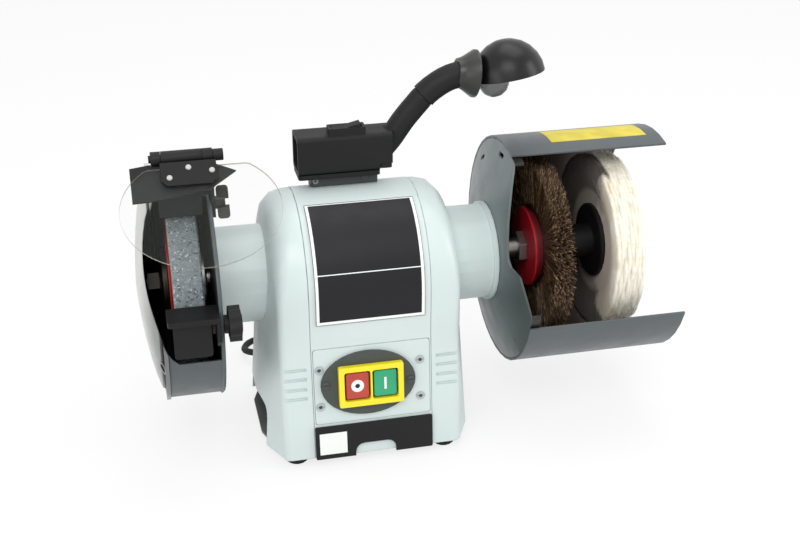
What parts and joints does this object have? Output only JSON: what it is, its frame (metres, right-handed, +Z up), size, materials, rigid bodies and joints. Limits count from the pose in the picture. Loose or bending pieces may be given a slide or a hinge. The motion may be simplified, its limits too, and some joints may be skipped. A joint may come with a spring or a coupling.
{
  "type": "bench grinder polisher",
  "caption": "Bench grinder polisher: guarded grinding wheel with eye shield and tool rest at the left, wire brush and buff in an open drum guard at the right, flexible lamp on top.",
  "frame": {"origin": "on the floor, in the middle of the machine's footprint, the free cord left out", "axes": "+X to the right along the shaft, +Y to the back, +Z up; the operator stands at -Y"},
  "size_m": [0.4346, 0.346, 0.315],
  "materials": {
    "casting": "satin enamel",
    "steel": "satin",
    "black_metal": "satin",
    "black_plastic": "matt",
    "gloss_black": "gloss",
    "yellow": "satin",
    "red_button": "satin",
    "green_button": "satin",
    "copper": "satin",
    "alloy": "satin",
    "guard_grey": "satin",
    "abrasive": "coarse",
    "red": "satin",
    "clear": "clear",
    "glass": "clear",
    "wire": "bright",
    "cotton": "fluffy",
    "rubber": "matt"
  },
  "bodies": {
    "machine": {"motor_housing": "casting", "end_frame_left": "casting", "end_frame_right": "casting", "base_plate": "steel", "foot_front_left": "rubber", "foot_front_right": "rubber", "foot_rear_left": "rubber", "foot_rear_right": "rubber", "base_band": "black_plastic", "rating_plate": "black_plastic", "front_panel": "casting", "switch_plate": "black_plastic", "switch_frame": "yellow", "switch_block": "black_plastic", "stator": "copper", "bearing_left": "steel", "bearing_right": "steel", "capacitor": "alloy", "guard_left": "guard_grey", "guard_cover": "alloy", "rest_bolt": "steel", "shield_bracket": "black_metal", "shield_pin": "black_metal", "lamp_base": "black_plastic", "lamp_foot": "black_plastic", "gooseneck_lower": "black_plastic", "drum_end_plate": "guard_grey", "drum_shell": "guard_grey", "cord_gland": "rubber", "cord": "rubber", "cord_coil": "rubber", "plug": "rubber"},
    "spindle": {"shaft": "steel", "rotor": "steel", "grinding_wheel": "abrasive", "wheel_blotter": "red", "wheel_flange_outer": "steel", "wheel_nut": "steel", "brush_hub": "red", "bristles_upper": "wire", "bristles_lower": "wire", "buff_flange_inner": "black_metal", "buff": "cotton", "buff_flange_outer": "black_metal", "spindle_nut": "steel"},
    "stop_key": {"stop_button": "red_button"},
    "start_key": {"start_button": "green_button"},
    "shield": {"shield_holder": "black_metal", "shield_clamp": "black_metal", "eye_shield": "clear"},
    "wing_nut": {"wing_nut": "steel"},
    "deflector": {"spark_deflector": "steel"},
    "tool_rest": {"tool_rest": "black_metal"},
    "rest_knob": {"rest_knob": "black_plastic"},
    "rocker": {"lamp_rocker": "rubber"},
    "lamp_arm": {"gooseneck_upper": "black_plastic", "lamp_cup": "black_plastic"},
    "lamp_dome": {"lamp_shade": "gloss_black", "lamp_socket": "black_plastic", "bulb": "glass"}
  },
  "joints": [
    {"name": "spindle_spin", "type": "hinge", "parent": "machine", "child": "spindle", "pos_m": [-0.03575, 0.00265, 0.142], "axis": [1, 0, 0], "continuous": true},
    {"name": "stop_press", "type": "slide", "parent": "machine", "child": "stop_key", "axis": [0, 0.9948, -0.1015], "range_m": [0, 0.003], "stiffness_N_per_m": 400},
    {"name": "start_press", "type": "slide", "parent": "machine", "child": "start_key", "axis": [0, 0.9948, -0.1015], "range_m": [0, 0.003], "stiffness_N_per_m": 400},
    {"name": "shield_tilt", "type": "hinge", "parent": "machine", "child": "shield", "pos_m": [-0.16975, -0.04295, 0.2613], "axis": [-1, 0, 0], "range_deg": [-12, 80]},
    {"name": "wing_nut_turn", "type": "hinge", "parent": "machine", "child": "wing_nut", "pos_m": [-0.14275, -0.03335, 0.22], "axis": [1, 0, 0], "continuous": true},
    {"name": "deflector_slide", "type": "slide", "parent": "machine", "child": "deflector", "axis": [0, 0, -1], "range_m": [0, 0.005]},
    {"name": "rest_slide", "type": "slide", "parent": "machine", "child": "tool_rest", "axis": [0, 1, 0], "range_m": [-0.008, 0.002]},
    {"name": "rest_knob_turn", "type": "hinge", "parent": "machine", "child": "rest_knob", "pos_m": [-0.14275, -0.08335, 0.1435], "axis": [1, 0, 0], "continuous": true},
    {"name": "lamp_switch", "type": "hinge", "parent": "machine", "child": "rocker", "pos_m": [-0.03855, 0.01265, 0.253], "axis": [0, 1, 0], "range_deg": [0, 14]},
    {"name": "neck_bend", "type": "hinge", "parent": "machine", "child": "lamp_arm", "pos_m": [0.02325, 0.01865, 0.272], "axis": [0, 1, 0], "range_deg": [-25, 25]},
    {"name": "dome_tilt", "type": "hinge", "parent": "lamp_arm", "child": "lamp_dome", "pos_m": [0.09525, 0.01865, 0.286], "axis": [0, 1, 0], "range_deg": [-12, 12]}
  ]
}
